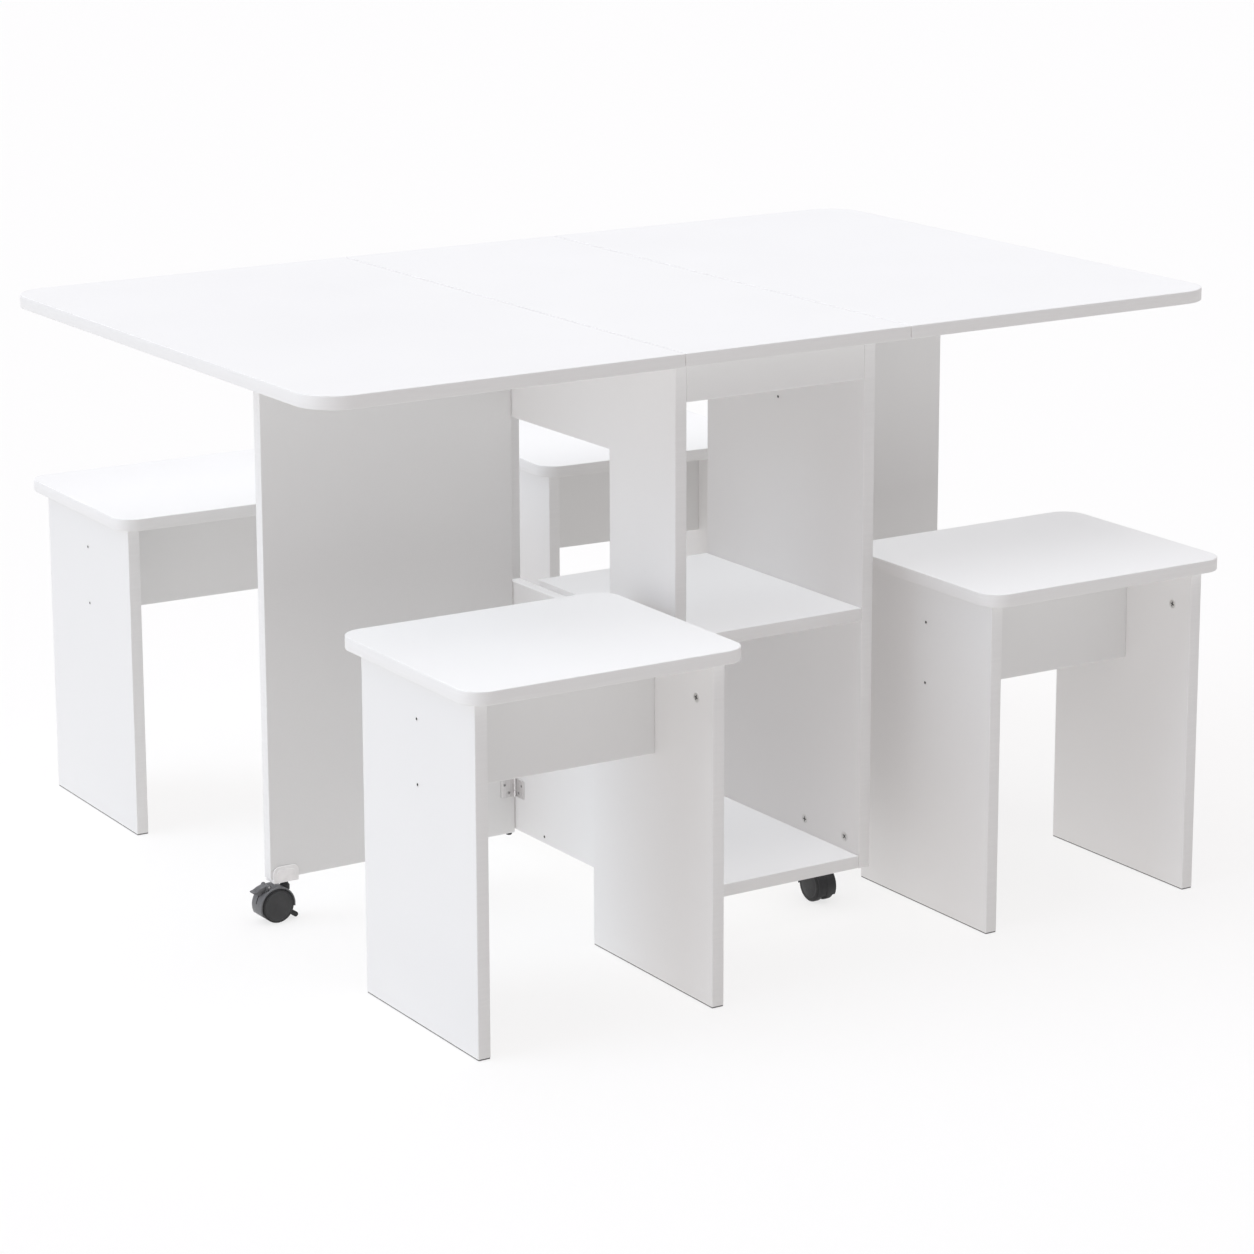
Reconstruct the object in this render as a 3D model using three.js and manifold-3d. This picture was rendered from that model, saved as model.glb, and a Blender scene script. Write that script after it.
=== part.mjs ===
// Folding dining set: a drop-leaf table with a shelf cabinet on casters, two swing
// gates that carry the leaves, and four stools. Millimetres, +Z up. X runs along the
// table and -Y is the front. The numbers below are from the floor under the middle of
// the table; the last lines move the origin to the middle of the whole set.
import * as THREE from "three";
import { mergeVertices } from "three/addons/utils/BufferGeometryUtils.js";
import Module from "manifold-3d";

const wasm = await Module();
wasm.setup();

// ---------------------------------------------------------------- dimensions
const BOARD = 16; // every board
const EDGE = 0.8; // eased edge of a board
const GAP = 0.3; // between boards that touch

const TOP_Z = 750; // upper face of the top
const TOP_HALF_L = 646;
const TOP_HALF_W = 410;
const TOP_CORNER = 50; // corner radius of the leaves
const SEAM_X = 162.5; // middle of the seam between centre top and leaf
const SEAM = 1.5; // width of the seam

const CAB_OUT = 145; // outer face of a side panel
const CAB_HALF_D = 361; // front edge of a side panel
const SIDE_BOTTOM = 59;
const WIN_Z0 = 387.5; // window in the left side panel
const WIN_Z1 = 600;
const WIN_FAR = 216; // its edge nearest the cabinet's own front
const WIN_NEAR = 20.5; // its other edge, past the middle
const NOTCH_Z0 = 204; // the right side panel is open to the rear, from here up to WIN_Z1
const SHELF_Z = 378.5;
const SHELF_BACK = 20.5; // back edge of the shelf, from the middle
const FLOOR_Z = 60; // underside of the bottom panel
const APRON_Z = 680.5;

const GATE_FACE = 11; // hinge-side face of a gate, from the middle
const GATE_IN = 146.4; // inner end
const GATE_OUT = 499; // outer end
const GATE_Z0 = 55;
const GATE_Z1 = 727; // top edge under the hinges of the leaf
const NIB_LEN = 60; // raised stretch that carries the leaf

const HINGE_OFF = 2.2; // gate hinge pin to each face
const HINGE_H = 24;
const HINGE_W = 20;
const HINGE_LOW_Z = 116;
const HINGE_HIGH_Z = 660;

const LEAF_PIN_DROP = 2.6; // leaf hinge pin under the board
const LEAF_HINGE_L = 50;
const LEAF_HINGE_W = 16.2;
const LEAF_HINGE_Y = 230;

const WHEEL_R = 21.5;
const WHEEL_Y0 = 3.6; // inner face of a wheel
const WHEEL_Y1 = 14; // outer face
const AXLE_R = 2.5;
const HOOD_IN = 22.3;
const HOOD_OUT = 24.3;
const HOOD_HALF = 13;
const TRAIL = 15.6; // swivel axis to axle
const STEM_R = 4;
const NECK_R = 6.5;

const GATE_CASTER_X = 476; // swivel axis of a gate's caster
const CAB_CASTER_X = 118;
const CAB_CASTER_Y = 272;

const SEAT_L = 368;
const SEAT_W = 314;
const SEAT_R = 30;
const STOOL_H = 436;
const LEG_IN = 19.5; // seat end to leg
const LEG_D = 264;
const APRON_H = 141;

// ---------------------------------------------------------------- materials
const white = new THREE.MeshStandardMaterial({ color: 0xf1f1f3, roughness: 0.42, metalness: 0 });
const plasticWhite = new THREE.MeshStandardMaterial({ color: 0xe6e4e2, roughness: 0.5, metalness: 0 });
const plasticGrey = new THREE.MeshStandardMaterial({ color: 0x55555a, roughness: 0.45, metalness: 0 });
const plasticDark = new THREE.MeshStandardMaterial({ color: 0x2a2a2c, roughness: 0.5, metalness: 0 });
const plasticBlack = new THREE.MeshStandardMaterial({ color: 0x101011, roughness: 0.5, metalness: 0 });
const steel = new THREE.MeshStandardMaterial({ color: 0xa8a6a8, roughness: 0.35, metalness: 0.9 });

// ---------------------------------------------------------------- helpers
function toSolid(geometry) {
  const g = geometry.index ? geometry.toNonIndexed() : geometry.clone();
  for (const key of Object.keys(g.attributes)) if (key !== "position") g.deleteAttribute(key);
  const m = mergeVertices(g, 1e-4);
  const make = (tri) =>
    new wasm.Manifold(
      new wasm.Mesh({ numProp: 3, vertProperties: new Float32Array(m.attributes.position.array), triVerts: tri }),
    );
  const tri = new Uint32Array(m.index.array);
  const s = make(tri);
  if (s.volume() >= 0) return s;
  for (let i = 0; i < tri.length; i += 3) [tri[i + 1], tri[i + 2]] = [tri[i + 2], tri[i + 1]];
  return make(tri);
}

function toGeometry(solid) {
  const m = solid.getMesh();
  const n = m.numProp;
  const pos = new Float32Array(m.numVert * 3);
  for (let i = 0; i < m.numVert; i++) pos.set(m.vertProperties.subarray(i * n, i * n + 3), i * 3);
  const g = new THREE.BufferGeometry();
  g.setAttribute("position", new THREE.BufferAttribute(pos, 3));
  g.setIndex(new THREE.BufferAttribute(new Uint32Array(m.triVerts), 1));
  const flat = g.toNonIndexed();
  flat.computeVertexNormals();
  return flat;
}

// A box whose twelve edges are eased by c.
function easedBox(x0, x1, y0, y1, z0, z1, c = EDGE) {
  const lo = [x0, y0, z0];
  const hi = [x1, y1, z1];
  const mid = [(x0 + x1) / 2, (y0 + y1) / 2, (z0 + z1) / 2];
  const pos = [];
  const id = {};
  for (const sx of [0, 1])
    for (const sy of [0, 1])
      for (const sz of [0, 1])
        for (const face of [0, 1, 2]) {
          const s = [sx, sy, sz];
          const p = [0, 1, 2].map((k) => {
            const edge = s[k] ? hi[k] : lo[k];
            return k === face ? edge : edge + (s[k] ? -c : c);
          });
          id[[sx, sy, sz, face]] = pos.length / 3;
          pos.push(...p);
        }
  const tris = [];
  const at = (i) => [pos[3 * i], pos[3 * i + 1], pos[3 * i + 2]];
  const tri = (a, b, d) => {
    const [p, q, r] = [at(a), at(b), at(d)];
    const u = [0, 1, 2].map((k) => q[k] - p[k]);
    const v = [0, 1, 2].map((k) => r[k] - p[k]);
    const n = [u[1] * v[2] - u[2] * v[1], u[2] * v[0] - u[0] * v[2], u[0] * v[1] - u[1] * v[0]];
    const out = [0, 1, 2].reduce((t, k) => t + n[k] * (p[k] + q[k] + r[k] - 3 * mid[k]), 0);
    tris.push(...(out > 0 ? [a, b, d] : [a, d, b]));
  };
  const quad = (a, b, d, e) => {
    tri(a, b, d);
    tri(a, d, e);
  };
  for (const f of [0, 1, 2]) {
    const [a, b] = [0, 1, 2].filter((k) => k !== f);
    for (const s of [0, 1]) {
      const v = (p, q) => {
        const c3 = [0, 0, 0];
        c3[f] = s;
        c3[a] = p;
        c3[b] = q;
        return id[[...c3, f]];
      };
      quad(v(0, 0), v(1, 0), v(1, 1), v(0, 1));
    }
    // edges that run along axis f
    for (const p of [0, 1])
      for (const q of [0, 1]) {
        const v = (s, face) => {
          const c3 = [0, 0, 0];
          c3[f] = s;
          c3[a] = p;
          c3[b] = q;
          return id[[...c3, face]];
        };
        quad(v(0, a), v(1, a), v(1, b), v(0, b));
      }
  }
  for (const sx of [0, 1])
    for (const sy of [0, 1])
      for (const sz of [0, 1]) tri(id[[sx, sy, sz, 0]], id[[sx, sy, sz, 1]], id[[sx, sy, sz, 2]]);
  const g = new THREE.BufferGeometry();
  g.setAttribute("position", new THREE.Float32BufferAttribute(pos, 3));
  g.setIndex(tris);
  const flat = g.toNonIndexed();
  flat.computeVertexNormals();
  return flat;
}

function plainBox(x0, x1, y0, y1, z0, z1) {
  return new THREE.BoxGeometry(x1 - x0, y1 - y0, z1 - z0).translate((x0 + x1) / 2, (y0 + y1) / 2, (z0 + z1) / 2);
}

// Cylinder along Z.
function rod(r, z0, z1, x = 0, y = 0, segments = 16) {
  return new THREE.CylinderGeometry(r, r, z1 - z0, segments).rotateX(Math.PI / 2).translate(x, y, (z0 + z1) / 2);
}

// Cylinder along Y.
function crossRod(r, y0, y1, x = 0, z = 0, segments = 16) {
  return new THREE.CylinderGeometry(r, r, y1 - y0, segments).translate(x, (y0 + y1) / 2, z);
}

// An outline in X and Z, extruded from y0 to y1.
function extrudeY(shape, y0, y1, curveSegments = 12) {
  return new THREE.ExtrudeGeometry(shape, { depth: y1 - y0, bevelEnabled: false, curveSegments })
    .rotateX(Math.PI / 2)
    .translate(0, y1, 0);
}

// An outline in X and Y, extruded upwards from z0 by t, with eased edges.
function slab(shape, z0, t, curveSegments = 10) {
  return new THREE.ExtrudeGeometry(shape, {
    depth: t - 2 * EDGE,
    bevelEnabled: true,
    bevelThickness: EDGE,
    bevelSize: EDGE,
    bevelOffset: -EDGE,
    bevelSegments: 2,
    curveSegments,
  }).translate(0, 0, z0 + EDGE);
}

// Rectangle with a radius for each corner, in the order x0y0, x1y0, x1y1, x0y1.
function outline(x0, x1, y0, y1, r) {
  const s = new THREE.Shape();
  const arc = (cx, cy, rr, a) => s.absarc(cx, cy, rr, a, a + Math.PI / 2, false);
  s.moveTo(x0 + r[0], y0);
  s.lineTo(x1 - r[1], y0);
  if (r[1]) arc(x1 - r[1], y0 + r[1], r[1], -Math.PI / 2);
  s.lineTo(x1, y1 - r[2]);
  if (r[2]) arc(x1 - r[2], y1 - r[2], r[2], 0);
  s.lineTo(x0 + r[3], y1);
  if (r[3]) arc(x0 + r[3], y1 - r[3], r[3], Math.PI / 2);
  s.lineTo(x0, y0 + r[0]);
  if (r[0]) arc(x0 + r[0], y0 + r[0], r[0], Math.PI);
  return s;
}

const root = new THREE.Group();
function add(parent, name, geometry, material) {
  const m = new THREE.Mesh(geometry, material);
  m.name = name;
  parent.add(m);
  return m;
}
const cut = (base, ...tools) => tools.reduce((s, t) => s.subtract(toSolid(t)), base);
const join = (...parts) => parts.slice(1).reduce((s, p) => s.add(toSolid(p)), toSolid(parts[0]));

// ---------------------------------------------------------------- top
const topLow = TOP_Z - BOARD;
add(root, "top_centre", easedBox(-SEAM_X + SEAM / 2, SEAM_X - SEAM / 2, -TOP_HALF_W, TOP_HALF_W, topLow, TOP_Z), white);
const leafIn = SEAM_X + SEAM / 2;
const R = TOP_CORNER;
add(root, "leaf_left", slab(outline(-TOP_HALF_L, -leafIn, -TOP_HALF_W, TOP_HALF_W, [R, 0, 0, R]), topLow, BOARD), white);
add(root, "leaf_right", slab(outline(leafIn, TOP_HALF_L, -TOP_HALF_W, TOP_HALF_W, [0, R, R, 0]), topLow, BOARD), white);

// ---------------------------------------------------------------- cabinet
const cabIn = CAB_OUT - BOARD;
const boardX = cabIn - GAP;
const underTop = topLow - GAP;

// One half of the cabinet and its gate. The other half is turned half a turn, and differs in
// that its side panel has a notch open to the rear in place of a window, and in having no shelf.
function half(parent, side, end) {
  const windowed = side === "left";
  const panel = cut(
    toSolid(easedBox(-CAB_OUT, -cabIn, -CAB_HALF_D, CAB_HALF_D, SIDE_BOTTOM, underTop)),
    windowed
      ? plainBox(-CAB_OUT - 5, -cabIn + 5, -WIN_FAR, WIN_NEAR, WIN_Z0, WIN_Z1)
      : plainBox(-CAB_OUT - 5, -cabIn + 5, -CAB_HALF_D - 5, WIN_NEAR, NOTCH_Z0, WIN_Z1),
  );
  add(parent, "side_panel_" + side, toGeometry(panel), white);
  add(parent, "apron_" + end, easedBox(-boardX, boardX, -CAB_HALF_D, -CAB_HALF_D + BOARD, APRON_Z, underTop), white);
  if (windowed) add(parent, "shelf", easedBox(-boardX, boardX, -CAB_HALF_D, -SHELF_BACK, SHELF_Z, SHELF_Z + BOARD), white);

  // gate: its top edge clears the leaf hinges, and a raised stretch at its outer end carries the leaf
  const g = new THREE.Shape();
  g.moveTo(-GATE_OUT, GATE_Z0);
  g.lineTo(-GATE_IN, GATE_Z0);
  g.lineTo(-GATE_IN, GATE_Z1);
  g.lineTo(-GATE_OUT + NIB_LEN, GATE_Z1);
  g.lineTo(-GATE_OUT + NIB_LEN - 4, underTop);
  g.lineTo(-GATE_OUT, underTop);
  g.closePath();
  const gateGeom = new THREE.ExtrudeGeometry(g, {
    depth: BOARD - 2 * EDGE,
    bevelEnabled: true,
    bevelThickness: EDGE,
    bevelSize: EDGE,
    bevelOffset: -EDGE,
    bevelSegments: 1,
  })
    .rotateX(Math.PI / 2)
    .translate(0, GATE_FACE + BOARD - EDGE, 0);
  const midY = GATE_FACE + BOARD / 2;
  const gate = cut(toSolid(gateGeom), rod(STEM_R + 0.6, GATE_Z0 - 5, GATE_Z0 + 12, -GATE_CASTER_X, midY));
  add(parent, "gate_" + side, toGeometry(gate), white);

  // gate hinges in the corner between gate and side panel
  const px = -CAB_OUT - HINGE_OFF;
  const py = GATE_FACE - HINGE_OFF;
  [
    ["low", HINGE_LOW_Z],
    ["high", HINGE_HIGH_Z],
  ].forEach(([where, z]) => {
    const set = hingePair({
      length: HINGE_H,
      knuckle: HINGE_OFF - GAP,
      plate: 1.1,
      pin: 0.9,
      fixed: { width: HINGE_W, side: 1, angle: -Math.PI / 2 },
      moving: { width: HINGE_W, side: -1, angle: Math.PI },
    });
    add(parent, "gate_hinge_" + side + "_" + where + "_fixed", toGeometry(set.fixed).translate(px, py, z), steel);
    add(parent, "gate_hinge_" + side + "_" + where + "_moving", toGeometry(set.moving).translate(px, py, z), steel);
  });

  // leaf hinges under the seam
  [
    [end, -LEAF_HINGE_Y],
    [end === "front" ? "rear" : "front", LEAF_HINGE_Y],
  ].forEach(([where, y]) => {
    const set = hingePair({
      length: LEAF_HINGE_L,
      knuckle: LEAF_PIN_DROP - GAP,
      plate: 1.4,
      pin: 1.1,
      fixed: { width: LEAF_HINGE_W, side: 1, angle: 0 },
      moving: { width: LEAF_HINGE_W, side: -1, angle: Math.PI },
    });
    const place = (s) => toGeometry(s).rotateX(Math.PI / 2).translate(-SEAM_X, y, topLow - LEAF_PIN_DROP);
    add(parent, "leaf_hinge_" + side + "_" + where + "_fixed", place(set.fixed), steel);
    add(parent, "leaf_hinge_" + side + "_" + where + "_moving", place(set.moving), steel);
  });

  // saddle that holds the gate's caster: two cheeks and a web under the gate's bottom edge
  const cheek = new THREE.Shape();
  const [cx0, cx1, cz0, cz1, cr] = [-GATE_CASTER_X - 20, -GATE_CASTER_X + 15, 50, 71, 8];
  cheek.moveTo(cx0, cz0);
  cheek.lineTo(cx1, cz0);
  cheek.lineTo(cx1, cz1 - cr);
  cheek.absarc(cx1 - cr, cz1 - cr, cr, 0, Math.PI / 2, false);
  cheek.lineTo(cx0 + cr, cz1);
  cheek.absarc(cx0 + cr, cz1 - cr, cr, Math.PI / 2, Math.PI, false);
  cheek.closePath();
  const y0 = GATE_FACE - GAP - 2;
  const y1 = GATE_FACE + BOARD + GAP + 2;
  const saddle = cut(
    toSolid(extrudeY(cheek, y0, y1, 6)),
    plainBox(cx0 - 5, cx1 + 5, y0 + 2, y1 - 2, GATE_Z0 - GAP, cz1 + 5),
    rod(STEM_R + 0.3, 40, 60, -GATE_CASTER_X, midY),
  );
  add(parent, "gate_caster_saddle_" + side, toGeometry(saddle), plasticWhite);

  // gate caster, trailing outwards
  const c = caster(50 - GAP, GATE_Z0 + 9, true);
  const spot = new THREE.Group();
  spot.position.set(-GATE_CASTER_X, midY, 0);
  parent.add(spot);
  add(spot, "gate_caster_fork_" + side, toGeometry(c.fork), plasticGrey);
  add(spot, "gate_caster_wheels_" + side, toGeometry(c.wheels), plasticDark);
  add(spot, "gate_caster_brake_" + side, toGeometry(c.brake), plasticGrey);

  // cabinet casters at this end
  [
    ["left", -1],
    ["right", 1],
  ].forEach(([where, s]) => {
    const k = caster(FLOOR_Z - GAP, FLOOR_Z + 11, false);
    const at = new THREE.Group();
    at.position.set(s * CAB_CASTER_X, -CAB_CASTER_Y, 0);
    at.rotation.z = Math.PI / 2;
    parent.add(at);
    // the other half is turned, so its left is the object's right
    const name = end === "front" ? where : where === "left" ? "right" : "left";
    add(at, "caster_fork_" + end + "_" + name, toGeometry(k.fork), plasticBlack);
    add(at, "caster_wheels_" + end + "_" + name, toGeometry(k.wheels), plasticBlack);
  });
}

// A butt hinge about the Z axis. Both leaves lie beside the pin on one side of it, so that
// they meet flat when closed. The pin is part of the fixed leaf.
function hingePair(h) {
  const third = h.length / 3;
  const half = h.length / 2;
  const plate = (leaf) =>
    plainBox(0, leaf.width, leaf.side > 0 ? h.knuckle - h.plate : -h.knuckle, leaf.side > 0 ? h.knuckle : h.plate - h.knuckle, -half, half).rotateZ(leaf.angle);
  const clear = h.knuckle + 0.35;
  const bore = h.pin + 0.16;
  const mid = [-third / 2, third / 2];
  const fixed = cut(
    toSolid(plate(h.fixed)),
    rod(clear, -half - 1, mid[0] + 0.2, 0, 0, 20),
    rod(clear, mid[1] - 0.2, half + 1, 0, 0, 20),
  )
    .add(toSolid(rod(h.knuckle, mid[0] + 0.2, mid[1] - 0.2, 0, 0, 16)))
    .add(toSolid(rod(h.pin, -half, half, 0, 0, 12)));
  const moving = cut(toSolid(plate(h.moving)), rod(clear, mid[0] - 0.2, mid[1] + 0.2, 0, 0, 20))
    .add(toSolid(rod(h.knuckle, -half, mid[0] - 0.2, 0, 0, 16)))
    .add(toSolid(rod(h.knuckle, mid[1] + 0.2, half, 0, 0, 16)))
    .subtract(toSolid(rod(bore, -half - 1, half + 1, 0, 0, 12)));
  return { fixed, moving };
}

// A twin-wheel furniture caster. Its swivel axis is the Z axis, it stands on z = 0 and it
// trails towards -X.
function caster(neckTop, stemTop, braked) {
  const ax = -TRAIL;
  const az = WHEEL_R;
  const polar = (r, deg) => [ax + r * Math.cos((deg * Math.PI) / 180), az + r * Math.sin((deg * Math.PI) / 180)];
  const a0 = -8;
  const a1 = 205;
  const ring = new THREE.Shape();
  const pie = new THREE.Shape();
  const steps = 15;
  for (let i = 0; i <= steps; i++) {
    const p = polar(HOOD_OUT, a0 + ((a1 - a0) * i) / steps);
    i ? ring.lineTo(...p) : ring.moveTo(...p);
  }
  for (let i = steps; i >= 0; i--) ring.lineTo(...polar(HOOD_IN, a0 + ((a1 - a0) * i) / steps));
  ring.closePath();
  pie.moveTo(...polar(0, 0));
  for (let i = 0; i <= steps; i++) pie.lineTo(...polar(HOOD_IN + 0.8, a0 + ((a1 - a0) * i) / steps));
  pie.closePath();
  const well = crossRod(HOOD_IN, -20, 20, ax, az, 32);
  let fork = join(extrudeY(ring, -HOOD_HALF, HOOD_HALF), extrudeY(pie, -2.5, 2.5), crossRod(8, -2.5, 2.5, ax, az, 16));
  fork = fork.add(cut(toSolid(rod(NECK_R, 30, neckTop, 0, 0, 18)), well));
  fork = fork.add(toSolid(rod(STEM_R, neckTop - 2, stemTop, 0, 0, 16)));
  let brake = null;
  if (braked) {
    // tail of the brake between the wheels, and the ears that hold the pedal
    const t = (-33.5 * Math.PI) / 180;
    const tail = join(plainBox(6, 33.6, -2.2, 2.2, -2.4, 2.4), crossRod(2.4, -2.2, 2.2, 33.6, 0, 12));
    fork = fork.add(toSolid(toGeometry(tail).rotateY(-t).translate(ax, 0, az)));
    const [hx, hz] = polar(26.9, 112);
    const ear = (y0, y1) => join(crossRod(2.8, y0, y1, hx, hz, 12), plainBox(hx - 2.6, hx + 2.6, y0, y1, hz - 4.6, hz));
    fork = fork.add(cut(ear(-8.6, -6.5), well)).add(cut(ear(6.5, 8.6), well));
    fork = fork.add(toSolid(crossRod(1.2, -7, 7, hx, hz, 10)));
    const pedal = new THREE.Shape();
    pedal.moveTo(hx - 1, hz + 2.4);
    pedal.lineTo(hx + 0.5, hz - 2.2);
    pedal.lineTo(ax - 17.5, az + 21.6);
    pedal.lineTo(ax - 27.6, az + 16.9);
    pedal.lineTo(ax - 29.2, az + 18.4);
    pedal.lineTo(ax - 20, az + 24.4);
    pedal.closePath();
    brake = cut(
      join(crossRod(2.5, -6, 6, hx, hz, 14), extrudeY(pedal, -6, 6)),
      crossRod(1.42, -10, 10, hx, hz, 12),
      crossRod(HOOD_OUT + 0.5, -20, 20, ax, az, 48),
    );
  }
  fork = fork.subtract(toSolid(crossRod(AXLE_R + 0.25, -10, 10, ax, az, 16)));
  const profile = [
    [0, -WHEEL_Y1],
    [WHEEL_R - 1.5, -WHEEL_Y1],
    [WHEEL_R, -WHEEL_Y1 + 1.5],
    [WHEEL_R, -WHEEL_Y0 - 1],
    [WHEEL_R - 0.8, -WHEEL_Y0],
    [AXLE_R, -WHEEL_Y0],
  ];
  const pts = [...profile, ...profile.map(([r, y]) => [r, -y]).reverse()].map(([r, y]) => new THREE.Vector2(r, y));
  const wheels = toSolid(new THREE.LatheGeometry(pts, 24).translate(ax, 0, az));
  return { fork, wheels, brake };
}

half(root, "left", "front");
const turned = new THREE.Group();
turned.rotation.z = Math.PI;
root.add(turned);
half(turned, "right", "rear");

const bottomPanel = cut(
  toSolid(easedBox(-boardX, boardX, -CAB_HALF_D, CAB_HALF_D, FLOOR_Z, FLOOR_Z + BOARD)),
  ...[-1, 1].flatMap((a) => [-1, 1].map((b) => rod(STEM_R + 0.6, FLOOR_Z - 5, FLOOR_Z + 12.5, a * CAB_CASTER_X, b * CAB_CASTER_Y))),
);
add(root, "bottom_panel", toGeometry(bottomPanel), white);

// ---------------------------------------------------------------- stools
const STOOLS = [
  ["front_left", -357.7, -405.5, -0.8],
  ["rear_left", -317.3, 548.3, -1.5],
  ["front_right", 380.5, -378.6, -0.5],
  ["rear_right", 314.6, 513.8, -3.5],
];
for (const [name, x, y, deg] of STOOLS) {
  const s = new THREE.Group();
  s.position.set(x, y, 0);
  s.rotation.z = (deg * Math.PI) / 180;
  root.add(s);
  const r = SEAT_R;
  add(s, "stool_" + name + "_seat", slab(outline(-SEAT_L / 2, SEAT_L / 2, -SEAT_W / 2, SEAT_W / 2, [r, r, r, r]), STOOL_H - BOARD, BOARD, 8), white);
  const legTop = STOOL_H - BOARD - GAP;
  const lo = -SEAT_L / 2 + LEG_IN;
  add(s, "stool_" + name + "_leg_a", easedBox(lo, lo + BOARD, -LEG_D / 2, LEG_D / 2, 0, legTop), white);
  add(s, "stool_" + name + "_leg_b", easedBox(-lo - BOARD, -lo, -LEG_D / 2, LEG_D / 2, 0, legTop), white);
  add(s, "stool_" + name + "_apron", easedBox(lo + BOARD + GAP, -lo - BOARD - GAP, -BOARD / 2, BOARD / 2, legTop - APRON_H, legTop), white);
}

// The origin moves to the middle of the set's bounding box, on the floor.
root.updateMatrixWorld(true);
const bounds = new THREE.Box3().setFromObject(root, true);
root.position.set(-(bounds.min.x + bounds.max.x) / 2, -(bounds.min.y + bounds.max.y) / 2, -bounds.min.z);

export default root;
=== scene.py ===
"""Folding dining set: finishes, edge banding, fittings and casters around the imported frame.
Lengths are written in millimetres from the floor under the middle of the table and
turned into the frame's metres when a piece is made. +X is the table's length, -Y its front."""

import math

import bpy
import bmesh
from mathutils import Matrix, Vector
from mathutils.geometry import tessellate_polygon


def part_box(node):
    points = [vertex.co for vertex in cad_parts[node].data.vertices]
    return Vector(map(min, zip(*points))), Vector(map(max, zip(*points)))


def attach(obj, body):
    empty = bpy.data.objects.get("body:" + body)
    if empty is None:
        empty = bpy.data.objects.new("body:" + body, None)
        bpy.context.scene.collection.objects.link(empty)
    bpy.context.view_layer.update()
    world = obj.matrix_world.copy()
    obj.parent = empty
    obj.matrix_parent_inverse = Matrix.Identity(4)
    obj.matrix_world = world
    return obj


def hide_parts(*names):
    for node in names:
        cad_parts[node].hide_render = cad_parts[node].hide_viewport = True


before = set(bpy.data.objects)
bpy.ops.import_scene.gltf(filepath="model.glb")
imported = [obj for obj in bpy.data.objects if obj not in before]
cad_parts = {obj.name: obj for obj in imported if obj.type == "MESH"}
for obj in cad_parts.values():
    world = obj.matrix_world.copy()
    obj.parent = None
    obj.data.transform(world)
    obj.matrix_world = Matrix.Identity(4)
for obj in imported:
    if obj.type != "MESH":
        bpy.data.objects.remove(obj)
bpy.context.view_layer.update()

low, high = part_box("top_centre")
OX, OY = (low.x + high.x) / 2, (low.y + high.y) / 2
ROW = Matrix.Translation((OX, OY, 0)) @ Matrix.Scale(0.001, 4)
HALF_TURN = Matrix.Rotation(math.pi, 4, "Z")

# ---------------------------------------------------------------- sizes, as in the frame
T = 16.0
TOP_Z = 750.0
TOP_LOW = TOP_Z - T
LEAF_IN = 163.25
CENTRE = 161.75
HALF_L, HALF_W = 646.0, 410.0
CAB_OUT, CAB_IN, CAB_D = 145.0, 129.0, 361.0
UNDER_TOP = TOP_LOW - 0.3
BOARD_X = CAB_IN - 0.3
STOOL_H = 436.0
WHEEL_R, TRAIL = 21.5, 15.6
AX, AZ = -TRAIL, WHEEL_R
HOOD_OUT = 24.3

STOOLS = [
    ("front_left", -357.7, -405.5, -0.8),
    ("rear_left", -317.3, 548.3, -1.5),
    ("front_right", 380.5, -378.6, -0.5),
    ("rear_right", 314.6, 513.8, -3.5),
]


# ---------------------------------------------------------------- materials
def material(name, base, roughness, metallic=0.0, specular=0.5):
    m = bpy.data.materials.new(name)
    m.use_nodes = True
    b = m.node_tree.nodes["Principled BSDF"]
    b.inputs["Base Color"].default_value = (*base, 1)
    b.inputs["Roughness"].default_value = roughness
    b.inputs["Metallic"].default_value = metallic
    b.inputs["Specular IOR Level"].default_value = specular
    m.diffuse_color = (*base, 1)
    return m, b


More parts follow.
